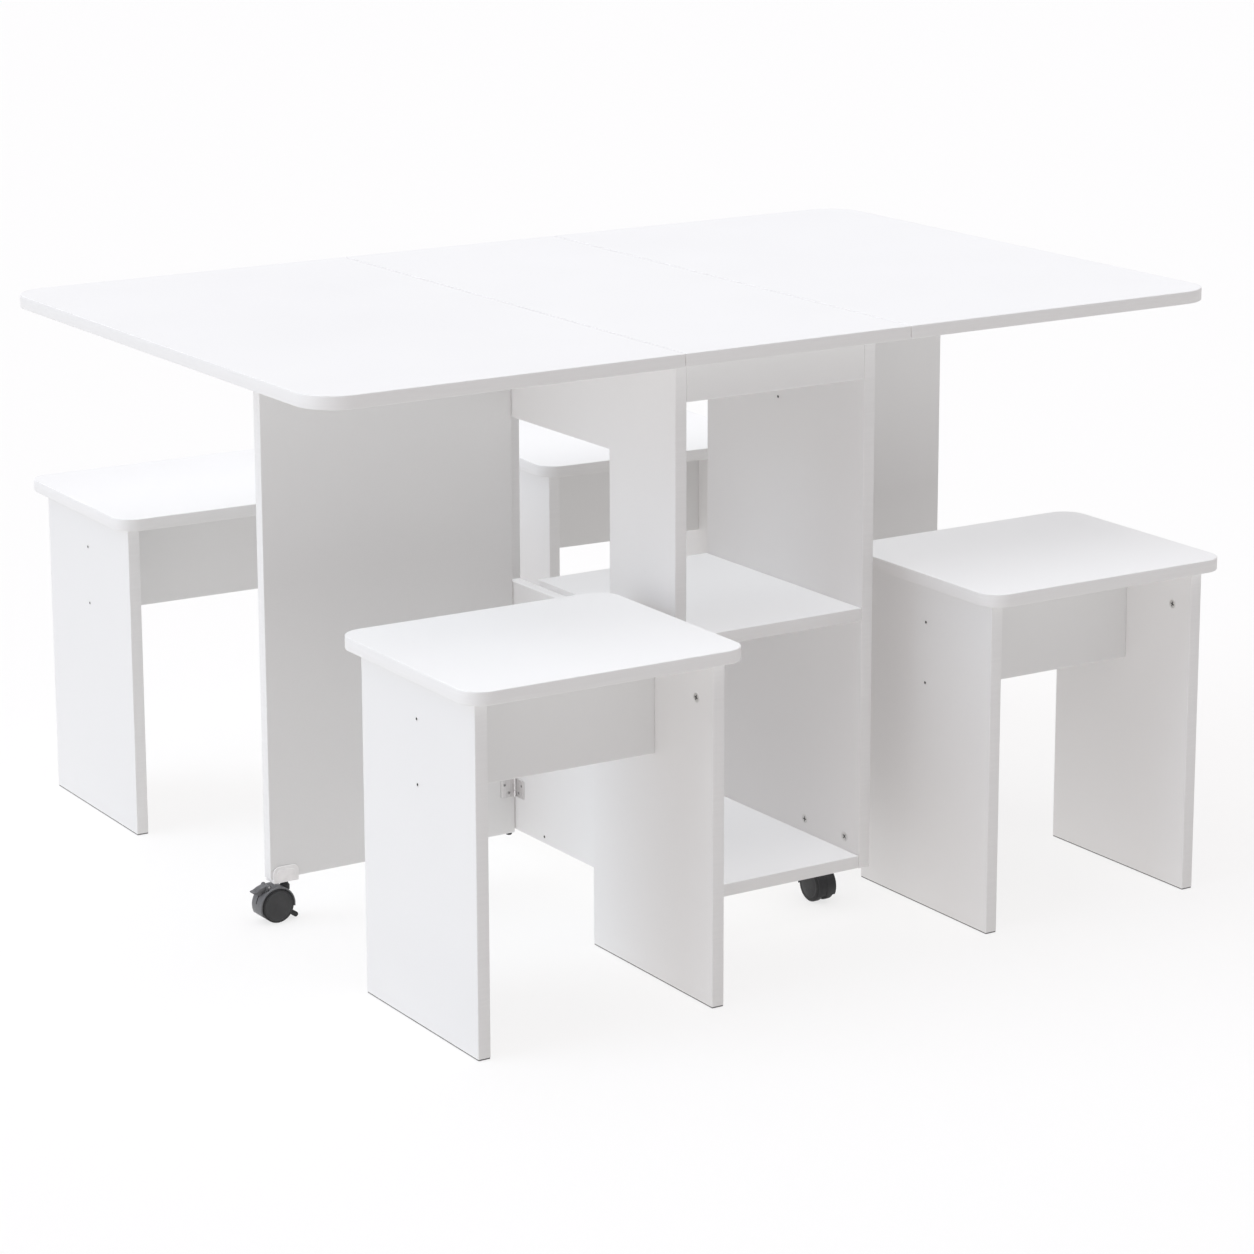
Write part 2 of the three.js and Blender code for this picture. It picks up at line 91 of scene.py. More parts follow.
class Nodes:
    """Small helpers to wire one material's node tree."""

    def __init__(self, m, b):
        self.t, self.b = m.node_tree, b
        self.coord = self.t.nodes.new("ShaderNodeTexCoord").outputs["Object"]
        self.normal = None

    def link(self, a, b):
        self.t.links.new(a, b)

    def stretched(self, sx, sy, sz, turn=(0, 0, 0)):
        n = self.t.nodes.new("ShaderNodeMapping")
        n.inputs["Scale"].default_value = (sx, sy, sz)
        n.inputs["Rotation"].default_value = turn
        self.link(self.coord, n.inputs["Vector"])
        return n.outputs["Vector"]

    def noise(self, scale, detail=2.0, rough=0.5, vector=None):
        n = self.t.nodes.new("ShaderNodeTexNoise")
        n.inputs["Scale"].default_value = scale
        n.inputs["Detail"].default_value = detail
        n.inputs["Roughness"].default_value = rough
        self.link(vector or self.coord, n.inputs["Vector"])
        return n.outputs["Fac"]

    def cells(self, scale, vector=None, feature="F1"):
        n = self.t.nodes.new("ShaderNodeTexVoronoi")
        n.feature = feature
        n.inputs["Scale"].default_value = scale
        self.link(vector or self.coord, n.inputs["Vector"])
        return n.outputs["Distance"]

    def span(self, value, a, b, lo, hi):
        n = self.t.nodes.new("ShaderNodeMapRange")
        n.clamp = True
        for k, v in (("From Min", a), ("From Max", b), ("To Min", lo), ("To Max", hi)):
            n.inputs[k].default_value = v
        self.link(value, n.inputs["Value"])
        return n.outputs["Result"]

    def math(self, op, a, b):
        n = self.t.nodes.new("ShaderNodeMath")
        n.operation = op
        for k, v in ((0, a), (1, b)):
            if isinstance(v, (int, float)):
                n.inputs[k].default_value = v
            else:
                self.link(v, n.inputs[k])
        return n.outputs[0]

    def mix(self, factor, a, b):
        n = self.t.nodes.new("ShaderNodeMix")
        n.data_type = "RGBA"
        self.link(factor, n.inputs["Factor"])
        for socket, v in ((n.inputs[6], a), (n.inputs[7], b)):
            if isinstance(v, tuple):
                socket.default_value = (*v, 1)
            else:
                self.link(v, socket)
        return n.outputs[2]

    def bump(self, height, strength, distance):
        n = self.t.nodes.new("ShaderNodeBump")
        n.inputs["Strength"].default_value = strength
        n.inputs["Distance"].default_value = distance
        self.link(height, n.inputs["Height"])
        if self.normal:
            self.link(self.normal, n.inputs["Normal"])
        self.normal = n.outputs["Normal"]
        self.link(self.normal, self.b.inputs["Normal"])

    def height(self):
        """Height over the floor in metres, at rest."""
        n = self.t.nodes.new("ShaderNodeSeparateXYZ")
        self.link(self.coord, n.inputs[0])
        return n.outputs["Z"]


def melamine(name, tone, rough):
    """White laminate on particleboard: a pearl-fine press texture and a little uneven sheen."""
    m, b = material(name, tone, rough, 0.0, 0.10)
    n = Nodes(m, b)
    cloud = n.span(n.noise(2.1, 3, 0.55), 0.3, 0.7, 0, 1)
    fine = n.span(n.noise(760, 2, 0.6), 0.3, 0.7, 0, 1)
    shade = tuple(c * k for c, k in zip(tone, (0.972, 0.972, 0.975)))
    deep = tuple(c * k for c, k in zip(tone, (0.955, 0.955, 0.960)))
    colour = n.mix(n.math("MULTIPLY", fine, 0.45), n.mix(cloud, tone, shade), deep)
    # the faintest handling marks, more of them low down
    rub = n.span(n.noise(26, 6, 0.72, n.stretched(1, 1, 0.45)), 0.60, 0.80, 0, 1)
    low_down = n.span(n.height(), 0.0, 0.12, 0.30, 0.06)
    colour = n.mix(n.math("MULTIPLY", rub, low_down), colour, tuple(c * 0.90 for c in tone))
    n.link(colour, b.inputs["Base Color"])
    sheen = n.math("ADD", n.span(n.noise(11, 4, 0.6), 0.3, 0.7, rough - 0.05, rough + 0.05), n.span(n.noise(430, 2), 0.3, 0.7, -0.02, 0.02))
    n.link(sheen, b.inputs["Roughness"])
    n.bump(n.noise(1500, 2, 0.6), 0.10, 0.00006)
    n.bump(n.noise(210, 2, 0.5), 0.06, 0.0001)
    n.bump(n.noise(5, 2, 0.5), 0.10, 0.0008)
    return m


def edge_band(name, tone, rough):
    """Thin plastic edging: smoother than the laminate, with drawn lines and small nicks."""
    m, b = material(name, tone, rough)
    n = Nodes(m, b)
    lines = n.noise(300, 3, 0.6, n.stretched(0.05, 0.05, 1))
    nick = n.span(n.noise(150, 5, 0.75), 0.66, 0.74, 0, 1)
    colour = n.mix(n.span(lines, 0.3, 0.7, 0, 1), tone, tuple(c * 0.975 for c in tone))
    colour = n.mix(n.math("MULTIPLY", nick, 0.35), colour, tuple(c * 0.86 for c in tone))
    n.link(colour, b.inputs["Base Color"])
    n.link(n.span(n.noise(60, 3), 0.3, 0.7, rough - 0.05, rough + 0.07), b.inputs["Roughness"])
    n.bump(lines, 0.10, 0.0001)
    n.bump(nick, 0.18, 0.0001)
    return m


def moulded(name, tone, rough, grain=900, strength=0.22, specular=0.5, dust=0.25):
    """Injection-moulded plastic: spark-eroded grain, uneven gloss, dust in the low places."""
    m, b = material(name, tone, rough, 0.0, specular)
    n = Nodes(m, b)
    cloud = n.span(n.noise(40, 3, 0.6), 0.3, 0.7, 0, 1)
    lift = tuple(min(1.0, c * 1.22 + 0.004) for c in tone)
    colour = n.mix(cloud, tone, lift)
    film = n.math("MULTIPLY", n.span(n.noise(170, 5, 0.7), 0.55, 0.78, 0, 1), dust)
    colour = n.mix(film, colour, tuple(min(1.0, c * 0.7 + 0.13) for c in tone))
    n.link(colour, b.inputs["Base Color"])
    n.link(n.span(n.noise(95, 4, 0.6), 0.3, 0.7, rough - 0.07, rough + 0.12), b.inputs["Roughness"])
    n.bump(n.cells(grain), strength, 0.00008)
    n.bump(n.noise(24, 2), 0.08, 0.0004)
    return m


def zinc(name, tone, rough, turn=(0, 0, 0)):
    """Zinc-plated pressed steel: rolling lines, faint spangle, dull spots."""
    m, b = material(name, tone, rough, 1.0)
    n = Nodes(m, b)
    drawn = n.noise(240, 4, 0.65, n.stretched(1, 1, 0.04, turn))
    spangle = n.cells(330)
    colour = n.mix(n.span(drawn, 0.3, 0.7, 0, 1), tone, tuple(c * 0.80 for c in tone))
    dull = n.span(n.noise(120, 5, 0.7), 0.52, 0.75, 0, 0.55)
    colour = n.mix(dull, colour, tuple(c * 0.62 for c in tone))
    n.link(colour, b.inputs["Base Color"])
    n.link(n.math("ADD", n.span(spangle, 0, 0.6, rough - 0.06, rough + 0.08), n.span(dull, 0, 0.55, 0, 0.18)), b.inputs["Roughness"])
    n.bump(drawn, 0.12, 0.0001)
    return m


WHITE = melamine("white_laminate", (0.805, 0.799, 0.788), 0.66)
BAND = edge_band("white_edging", (0.800, 0.792, 0.782), 0.50)
SADDLE = moulded("off_white_plastic", (0.76, 0.745, 0.735), 0.42, 1100, 0.12, 0.5, 0.10)
HOOD = moulded("grey_nylon", (0.105, 0.105, 0.109), 0.33, 950, 0.22, 0.50, 0.22)
DISC = moulded("dark_grey_nylon", (0.050, 0.050, 0.051), 0.46, 1000, 0.25, 0.22, 0.06)
TYRE = moulded("black_tread", (0.012, 0.012, 0.0125), 0.55, 700, 0.30, 0.35, 0.14)
BLACK = moulded("black_nylon", (0.014, 0.014, 0.015), 0.46, 950, 0.22, 0.40, 0.08)
STEEL = zinc("zinc_plate", (0.80, 0.785, 0.78), 0.42)
STEEL_DARK = zinc("zinc_screw", (0.56, 0.55, 0.545), 0.40)
CAP = moulded("screw_cap", (0.66, 0.65, 0.64), 0.44, 1200, 0.10, 0.5, 0.10)
CAM = zinc("cam_metal", (0.74, 0.73, 0.71), 0.46)
# dark colour for the strip under each stool leg: painted contact shadow where the foot meets the floor
FOOT_SHADOW = moulded("painted_foot_shadow", (0.10, 0.098, 0.096), 0.60, 900, 0.20, 0.3, 0.10)
# near-black colour for the inside of sockets, slots and pits: painted shade standing in for the dark in these recesses
RECESS_SHADE = moulded("painted_recess_shade", (0.022, 0.021, 0.020), 0.70, 800, 0.20, 0.2, 0.0)


# ---------------------------------------------------------------- mesh making
class Piece:
    """Closed shells gathered into one object that rides on one body."""

    def __init__(self, name, body, replaces=(), slot=None):
        self.name, self.body, self.replaces, self.slot = name, body, replaces, slot
        self.verts, self.faces, self.mats, self.smooth, self.slots = [], [], [], [], []

    def add(self, shell, place=None, mats=None):
        verts, faces, tags, smooth = shell
        place = place or Matrix.Identity(4)
        flip = place.to_3x3().determinant() < 0
        start = len(self.verts)
        self.verts += [place @ Vector(v) for v in verts]
        mats = mats if isinstance(mats, (list, tuple)) else [mats]
        for m in mats:
            if m not in self.slots:
                self.slots.append(m)
        for f, t, s in zip(faces, tags, smooth):
            f = [start + i for i in f]
            self.faces.append(f[::-1] if flip else f)
            self.mats.append(self.slots.index(mats[min(t, len(mats) - 1)]))
            self.smooth.append(s)
        return self

    def done(self):
        me = bpy.data.meshes.new(self.name)
        me.from_pydata([tuple(ROW @ v) for v in self.verts], [], self.faces)
        for m in self.slots:
            me.materials.append(m)
        me.polygons.foreach_set("material_index", self.mats)
        me.polygons.foreach_set("use_smooth", self.smooth)
        bm = bmesh.new()
        bm.from_mesh(me)
        bmesh.ops.remove_doubles(bm, verts=bm.verts, dist=2e-7)
        bmesh.ops.recalc_face_normals(bm, faces=bm.faces)
        bm.to_mesh(me)
        bm.free()
        me.set_sharp_from_angle(angle=math.radians(38))
        me.update()
        o = bpy.data.objects.new(self.name, me)
        bpy.context.scene.collection.objects.link(o)
        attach(o, self.body)
        if self.replaces:
            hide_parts(*self.replaces)
        return o


def ring_of(corners, radii, inset=0.0, seg=4):
    """A counterclockwise polygon with rounded corners, moved inwards by inset."""
    out, n = [], len(corners)
    for i in range(n):
        p0, p, p1 = (Vector(corners[k]) for k in (i - 1, i, (i + 1) % n))
        d0, d1 = (p - p0).normalized(), (p1 - p).normalized()
        n0, n1 = Vector((-d0.y, d0.x)), Vector((-d1.y, d1.x))
        det = n0.x * n1.y - n0.y * n1.x
        q = p + Vector((n1.y - n0.y, n0.x - n1.x)) * (inset / det)
        turn = d0.x * d1.y - d0.y * d1.x
        bisect = (n0 + n1) / (1 + n0.dot(n1))
        if turn > 0:
            r, sign = max(radii[i] - inset, 0.02), 1
        else:
            r, sign = radii[i] + inset, -1
        centre = q + bisect * (r * sign)
        a0 = math.atan2(-n0.y * sign, -n0.x * sign)
        sweep = math.asin(max(-1, min(1, turn)))
        if d0.dot(d1) < 0:
            sweep = math.copysign(math.pi - abs(sweep), sweep)
        for k in range(seg + 1):
            a = a0 + sweep * k / seg
            out.append((centre.x + r * math.cos(a), centre.y + r * math.sin(a)))
    return out


def circle(r, n=24, x=0.0, y=0.0, start=0.0):
    return [(x + r * math.cos(start + 2 * math.pi * k / n), y + r * math.sin(start + 2 * math.pi * k / n)) for k in range(n)]


def cap(verts, loops):
    """Triangles between an outer loop and the loops inside it, all given as vertex numbers."""
    flat = [i for loop in loops for i in loop]
    tris = tessellate_polygon([[Vector(verts[i]) for i in loop] for loop in loops])
    return [tuple(flat[k] for k in t) for t in tris]


def flat_piece(corners, radii, thick, rim, holes=(), pits=(), seg=4, band_from=0):
    """A flat part in the XY plane from z 0 to thick. rim lists (inset, drop) from the flat
    face down to the edge. holes go through; pits are (x, y, radius, depth, top or bottom).
    Tag 0 is the face, 1 the edge, 2 the inside of a pit."""
    verts, faces, tags, smooth = [], [], [], []
    levels = [(d, thick - h) for d, h in rim] + [(d, h) for d, h in reversed(rim)]
    top, bottom = [], []
    for k, (cs, rs, way) in enumerate([(corners, radii, 1)] + [(h[0], h[1], -1) for h in holes]):
        rings = []
        for d, z in levels:
            pts = ring_of(cs, rs, d * way, seg)
            rings.append(range(len(verts), len(verts) + len(pts)))
            verts += [(x, y, z) for x, y in pts]
        m = len(rings[0])
        for j in range(len(rings) - 1):
            on_band = band_from <= j < len(rings) - 1 - band_from
            for i in range(m):
                i2 = (i + 1) % m
                faces.append((rings[j][i], rings[j + 1][i], rings[j + 1][i2], rings[j][i2]))
                tags.append(1 if on_band else 0)
                smooth.append(True)
        top.append(list(rings[0]))
        bottom.append(list(rings[-1]))
    for x, y, r, depth, side in pits:
        z0, s = (thick, -1) if side == "top" else (0.0, 1)
        rings = []
        for rr, dz in ((r, 0.0), (r - 0.25, 0.25), (r - 0.25, depth)):
            pts = circle(rr, 24, x, y)
            rings.append(list(range(len(verts), len(verts) + len(pts))))
            verts += [(a, b, z0 + s * dz) for a, b in pts]
        for j in range(2):
            for i in range(24):
                i2 = (i + 1) % 24
                faces.append((rings[j][i], rings[j + 1][i], rings[j + 1][i2], rings[j][i2]))
                tags.append(2)
                smooth.append(True)
        faces.append(tuple(rings[2]))
        tags.append(2)
        smooth.append(False)
        (top if side == "top" else bottom).append(rings[0])
    for loops in (top, bottom):
        tris = cap(verts, loops)
        faces += tris
        tags += [0] * len(tris)
        smooth += [False] * len(tris)
    return verts, faces, tags, smooth


def turned_piece(profile, n=48, tags=None):
    """A profile of (radius, z), first and last on the axis, turned about the Z axis."""
    verts, faces, ft, sm = [], [], [], []
    rings = []
    for r, z in profile:
        if r < 1e-6:
            rings.append([len(verts)])
            verts.append((0, 0, z))
        else:
            rings.append(list(range(len(verts), len(verts) + n)))
            verts += [(r * math.cos(2 * math.pi * k / n), r * math.sin(2 * math.pi * k / n), z) for k in range(n)]
    for j in range(len(rings) - 1):
        a, b = rings[j], rings[j + 1]
        for i in range(n):
            i2 = (i + 1) % n
            if len(a) == 1:
                faces.append((a[0], b[i], b[i2]))
            elif len(b) == 1:
                faces.append((a[i], b[0], a[i2]))
            else:
                faces.append((a[i], b[i], b[i2], a[i2]))
            ft.append(tags[j] if tags else 0)
            sm.append(True)
    return verts, faces, ft, sm


def sector(profile, a0, a1, n=40, tags=None):
    """A closed profile of (radius, y), swept about the Y axis from angle a0 to a1 in the XZ plane."""
    verts, faces, ft, sm = [], [], [], []
    m = len(profile)
    for k in range(n + 1):
        a = math.radians(a0 + (a1 - a0) * k / n)
        verts += [(r * math.cos(a), y, r * math.sin(a)) for r, y in profile]
    for k in range(n):
        for i in range(m):
            i2 = (i + 1) % m
            faces.append((k * m + i, k * m + i2, (k + 1) * m + i2, (k + 1) * m + i))
            ft.append(tags[i] if tags else 0)
            sm.append(True)
    for base in (0, n * m):
        tris = cap([(p[0], p[1], 0) for p in profile], [list(range(m))])
        faces += [tuple(base + i for i in t) for t in tris]
        ft += [0] * len(tris)
        sm += [False] * len(tris)
    return verts, faces, ft, sm


def headed(r, h, recess, depth, dome=0.0, n=28):
    """A screw or cam head on the XY plane: a disc with a recess of the given outline in its face. The recess takes the
    second material, which the callers give as near-black painted shade.
    """
    verts, faces, tags, sm = [], [], [], []
    levels = [(r * 0.80, 0.0), (r, 0.12 * h), (r, h * 0.45), (r * 0.93, h * 0.82), (r * 0.80, h), ]
    rings = []
    for rr, z in levels:
        rings.append(list(range(len(verts), len(verts) + n)))
        verts += [(x, y, z) for x, y in circle(rr, n)]
    for j in range(len(rings) - 1):
        for i in range(n):
            i2 = (i + 1) % n
            faces.append((rings[j][i], rings[j][i2], rings[j + 1][i2], rings[j + 1][i]))
            tags.append(0)
            sm.append(True)
    rec = []
    for scale, z in ((1.0, h + dome), (0.86, h + dome - depth)):
        rec.append(list(range(len(verts), len(verts) + len(recess))))
        verts += [(x * scale, y * scale, z) for x, y in recess]
    k = len(recess)
    for i in range(k):
        i2 = (i + 1) % k
        faces.append((rec[0][i], rec[0][i2], rec[1][i2], rec[1][i]))
        tags.append(1)
        sm.append(False)
    faces.append(tuple(rec[1]))
    tags.append(1)
    sm.append(False)
    faces.append(tuple(rings[0][::-1]))
    tags.append(0)
    sm.append(False)
    tris = cap(verts, [rings[-1], rec[0]])
    faces += tris
    tags += [0] * len(tris)
    sm += [False] * len(tris)
    return verts, faces, tags, sm


def cross_outline(r, w):
    h = w / 2
    return [(r, -h), (r, h), (h, h), (h, r), (-h, r), (-h, h), (-r, h), (-r, -h), (-h, -h), (-h, -r), (h, -r), (h, -h)]


def hex_outline(r):
    return circle(r, 6, start=math.pi / 6)


def facing(x, y, z, normal, spin=0.0):
    """Stands the Z axis of a part on normal at x, y, z."""
    q = Vector((0, 0, 1)).rotation_difference(Vector(normal)).to_matrix().to_4x4()
    return Matrix.Translation((x, y, z)) @ q @ Matrix.Rotation(spin, 4, "Z")


def axes(origin, u, v, w):
    m = Matrix.Identity(4)
    for k, a in enumerate((u, v, w)):
        for j in range(3):
            m[j][k] = a[j]
    for j in range(3):
        m[j][3] = origin[j]
    return m


X, Y, Z = (1, 0, 0), (0, 1, 0), (0, 0, 1)
NEG_Y = (0, -1, 0)

# From the face: the laminate's end, the joint with the edging, and the edging's rounded arris.
RIM = [(1.45, 0.0), (1.22, 0.0), (1.14, 0.14), (1.04, 0.03)]
RIM += [(0.8 - 0.8 * math.sin(a), 0.03 + 0.8 - 0.8 * math.cos(a)) for a in (math.radians(k) for k in (0, 22.5, 45, 67.5, 90))]


def soft(r, n=3):
    return [(r - r * math.sin(a), r - r * math.cos(a)) for a in (math.pi / 2 * k / n for k in range(n + 1))]


def rectangle(x0, x1, y0, y1):
    return [(x0, y0), (x1, y0), (x1, y1), (x0, y1)]


def board(name, body, node, corners, radii, place, holes=(), pits=(), seg=4, slot="white_board"):
    shell = flat_piece(corners, radii, T, RIM, holes, pits, seg, band_from=2)
    # the inside of a pit is painted near-black as its shade
    return Piece(name, body, (node,), slot).add(shell, place, [WHITE, BAND, RECESS_SHADE]).done()


# ---------------------------------------------------------------- top
top_place = Matrix.Translation((0, 0, TOP_LOW))
sharp = [1.2] * 4
board("middle_top", "cabinet", "top_centre", rectangle(-CENTRE, CENTRE, -HALF_W, HALF_W), sharp, top_place)
for side, k in (("left", Matrix.Identity(4)), ("right", HALF_TURN)):
    board("drop_" + side, "leaf_" + side, "leaf_" + side, rectangle(-HALF_L, -LEAF_IN, -HALF_W, HALF_W), [50, 1.2, 1.2, 50], k @ top_place, seg=16)

# ---------------------------------------------------------------- fittings
CROSS = cross_outline(1.35, 0.62)
HEX = hex_outline(1.9)


def confirmat(piece, x, y, z, normal, place=None):
    """Flat-headed screw in a board's face: light cap, hexagon socket painted near-black as its shade."""
    m = (place or Matrix.Identity(4)) @ facing(x, y, z, normal, 0.3)
    piece.add(headed(3.4, 0.45, HEX, 0.40), m, [CAP, RECESS_SHADE])


def cam(piece, x, y, z, normal, place=None, spin=0.5):
    """Cam fitting: a round body flush in the board, with a deep cross slot painted near-black as its shade, and a
    raised lip.
    """
    m = (place or Matrix.Identity(4)) @ facing(x, y, z, normal, spin)
    lip = sector_ring(5.6, 6.6, 0.55)
    piece.add(lip, m, [CAP])
    piece.add(headed(5.3, 0.38, cross_outline(3.3, 1.5), 0.34), m, [CAM, RECESS_SHADE])


def sector_ring(r0, r1, h, n=32):
    """A low ring on the XY plane."""
    prof = [(r0, 0.0), (r1, 0.0), (r1, h * 0.55), ((r0 + r1) / 2 + 0.15, h), ((r0 + r1) / 2 - 0.15, h), (r0, h * 0.55)]
    verts, faces, tags, sm = [], [], [], []
    m = len(prof)
    for k in range(n):
        a = 2 * math.pi * k / n
        verts += [(r * math.cos(a), r * math.sin(a), z) for r, z in prof]
    for k in range(n):
        k2 = (k + 1) % n
        for i in range(m):
            i2 = (i + 1) % m
            faces.append((k * m + i, k2 * m + i, k2 * m + i2, k * m + i2))
            tags.append(0)
            sm.append(True)
    return verts, faces, tags, sm


# ---------------------------------------------------------------- cabinet and gates
def hinge(prefix, body_fixed, body_moving, node, place, length, knuckle, plate, w_fixed, w_moving, a_fixed, a_moving, screws):
    """Pressed butt hinge about the local Z axis; both leaves lie on one side of the pin."""
    third, half = length / 3, length / 2
    for leaf, body, width, side, angle, spans in (
        ("fixed", body_fixed, w_fixed, 1, a_fixed, [(-third / 2 + 0.2, third / 2 - 0.2)]),
        ("moving", body_moving, w_moving, -1, a_moving, [(-half, -third / 2 - 0.2), (third / 2 + 0.2, half)]),
    ):
        p = Piece(f"{prefix}_{leaf}", body, (f"{node}_{leaf}",), "hinge_steel")
        m = place @ Matrix.Rotation(angle, 4, "Z")
        y0 = knuckle - plate if side > 0 else -knuckle
        # the leaf's outline in x and z, with a notch beside each of the other leaf's knuckles
        c = knuckle + 0.45
        pts, rad = [(c, -half)], [0.2]
        pts += [(width, -half), (width, half), (c, half)]
        rad += [1.6, 1.6, 0.2]
        for z0, z1 in reversed(spans):
            inner = 0.6
            if z1 < half - 0.01:
                pts += [(c, z1)]
                rad += [0.2]
            else:
                pts.pop()
                rad.pop()
            pts += [(inner, z1), (inner, z0)]
            rad += [0.15, 0.15]
            if z0 > -half + 0.01:
                pts += [(c, z0)]
                rad += [0.2]
            else:
                pts = pts[1:]
                rad = rad[1:]
        flat = flat_piece(pts, rad, plate, soft(0.16, 2), seg=3)
        p.add(flat, m @ axes((0, y0 + plate, 0), X, Z, NEG_Y), [STEEL])
        for z0, z1 in spans:
            e = 0.22
            prof = [(0, z0), (knuckle - e, z0), (knuckle, z0 + e), (knuckle, z1 - e), (knuckle - e, z1), (0, z1)]
            p.add(turned_piece(prof, 32), m, [STEEL])
        if leaf == "fixed":
            for z, s in ((half, 1), (-half, -1)):
                prof = [(0, z - s * 0.3), (0.75, z - s * 0.3), (0.75, z - s * 0.02), (0.5, z + s * 0.12), (0, z + s * 0.15)]
                p.add(turned_piece(prof, 20), m, [STEEL_DARK])
        face_y = (knuckle - plate) if side > 0 else -(knuckle - plate)
        normal = (0, -1, 0) if side > 0 else (0, 1, 0)
        for i, (sx, sz) in enumerate(screws):
            # each screw's cross recess is painted near-black as its shade
            p.add(headed(2.1, 0.32, cross_outline(1.2, 0.5), 0.28), m @ facing(width * sx, face_y, half * sz, normal, 0.4 + 0.9 * i), [STEEL_DARK, RECESS_SHADE])
        p.done()


def gate_set(side, turn, fold_end, other_end):
    """One gate with what hangs on it and beside it. turn is the half turn for the right one."""
    cabinet, gate = "cabinet", "gate_" + side
    own = lambda m: turn @ m
    windowed = side == "left"
    if windowed:
        outline, radii, holes = rectangle(-CAB_D, CAB_D, 59, UNDER_TOP), sharp, [(rectangle(-216, 20.5, 387.5, 600), [1.0] * 4)]
    else:  # open to the rear in place of a window
        outline = [(-CAB_D, 59), (CAB_D, 59), (CAB_D, UNDER_TOP), (-CAB_D, UNDER_TOP), (-CAB_D, 600), (20.5, 600), (20.5, 204), (-CAB_D, 204)]
        radii, holes = [1.2] * 8, []
    board("side_" + side, cabinet, "side_panel_" + side, outline, radii, own(axes((-CAB_OUT, 0, 0), Y, Z, X)), holes=holes)
    board("rail_" + fold_end, cabinet, "apron_" + fold_end, rectangle(-BOARD_X, BOARD_X, 680.5, UNDER_TOP), sharp, own(axes((0, -CAB_D + T, 0), X, Z, NEG_Y)))
    if windowed:
        board("shelf_board", cabinet, "shelf", rectangle(-BOARD_X, BOARD_X, -CAB_D, -20.5), sharp, own(Matrix.Translation((0, 0, 378.5))))
    corners = [(-499, 55), (-146.4, 55), (-146.4, 727), (-439, 727), (-443, UNDER_TOP), (-499, UNDER_TOP)]
    board("swing_gate_" + side, gate, "gate_" + side, corners, [1.2, 1.2, 1.2, 4, 2.5, 1.2], own(axes((0, 27, 0), X, Z, NEG_Y)))

    # cams and screws on the inner face of this side panel
    f = Piece("cabinet_fittings_" + side, cabinet, slot="hinge_steel")
    for y in (-244.2, -330.2, 244.2, 330.2):
        cam(f, -CAB_IN, y, 93, X, turn, 0.4 + y / 90)
    for y in (-179.4, 179.4):
        confirmat(f, -CAB_IN, y, 628.3, X, turn)
    for y in (-300, -60, 60, 300):
        confirmat(f, -CAB_OUT, y, 68, (-1, 0, 0), turn)
    for y in (-300, -228) if windowed else (80, 300):
        confirmat(f, -CAB_OUT, y, 386.5, (-1, 0, 0), turn)
    f.done()

    gx, gy = -147.2, 8.8
    for where, z in (("low", 116), ("high", 660)):
        hinge(
            f"gate_butt_{side}_{where}", cabinet, gate, f"gate_hinge_{side}_{where}",
            own(Matrix.Translation((gx, gy, z))), 24, 1.9, 1.1, 20, 20, -math.pi / 2, math.pi,
            [(0.42, -0.5), (0.74, 0.42)],
        )
    for where, y in ((fold_end, -230), (other_end, 230)):
        hinge(
            f"leaf_butt_{side}_{where}", cabinet, "leaf_" + side, f"leaf_hinge_{side}_{where}",
            own(Matrix.Translation((-162.5, y, TOP_LOW - 2.6)) @ Matrix.Rotation(math.pi / 2, 4, "X")), 50, 2.3, 1.4, 16.2, 16.2, 0, math.pi,
            [(0.62, -0.72), (0.52, 0.0), (0.62, 0.72)],
        )

    # bumper under the gate's inner corner
    b = Piece("gate_bumper_" + side, gate, slot="caster_plastic")
    b.add(turned_piece([(0, 0), (3.0, 0), (3.9, 0.7), (4.1, 1.8), (4.1, 2.9), (0, 2.9)], 28), own(Matrix.Translation((-152.6, 16.0, 52.0))), [BLACK])
    b.done()

    # saddle of the gate's caster
    sx = -476
    s = Piece("saddle_" + side, gate, ("gate_caster_saddle_" + side,), "saddle_plastic")
    cheek = rectangle(sx - 20, sx + 15, 50, 71)
    for y in (10.7, 29.3):
        s.add(flat_piece(cheek, [1.2, 1.2, 8, 8], 2.0, soft(0.7), seg=8), own(axes((0, y, 0), X, Z, NEG_Y)), [SADDLE])
    s.add(flat_piece(rectangle(sx - 19.7, sx + 14.7, 9.4, 28.6), [1.0] * 4, 4.4, soft(0.5), seg=3), own(Matrix.Translation((0, 0, 50.2))), [SADDLE])
    s.add(flat_piece(rectangle(sx - 15.5, sx + 10.5, 54, 66.5), [2, 2, 5, 5], 0.9, soft(0.35), seg=6), own(axes((0, 9.0, 0), X, Z, NEG_Y)), [SADDLE])
    for k in (-12.6, 8.6):
        # each screw's cross recess is painted near-black as its shade
        s.add(headed(2.4, 0.8, cross_outline(1.3, 0.55), 0.6), own(facing(sx + k, 29.3, 59.6, Y, 0.2 + k)), [SADDLE, RECESS_SHADE])
    s.done()

    caster(side, "gate_caster_" + side, "gate_wheels_" + side, "gate_brake_" + side, own(Matrix.Translation((sx, 19, 0))), 49.7, f"gate_caster_fork_{side}", f"gate_caster_wheels_{side}", f"gate_caster_brake_{side}")


def wheel_profile(y0, y1, r, shoulder):
    """Half of a twin wheel as (radius, y) from its inner face to its outer one."""
    pts = [(2.5, y0), (9.0, y0), (10.0, y0 + 0.5), (r - 5.0, y0 + 0.5), (r - 3.4, y0)]
    for k in range(7):
        a = math.pi / 2 * k / 6
        pts.append((r - 1.6 + 1.6 * math.sin(a), y0 + 1.6 - 1.6 * math.cos(a)))
    for k in range(9):
        a = math.pi / 2 * k / 8
        pts.append((r - shoulder + shoulder * math.cos(a), y1 - shoulder * 0.62 + shoulder * 0.62 * math.sin(a)))
    return pts


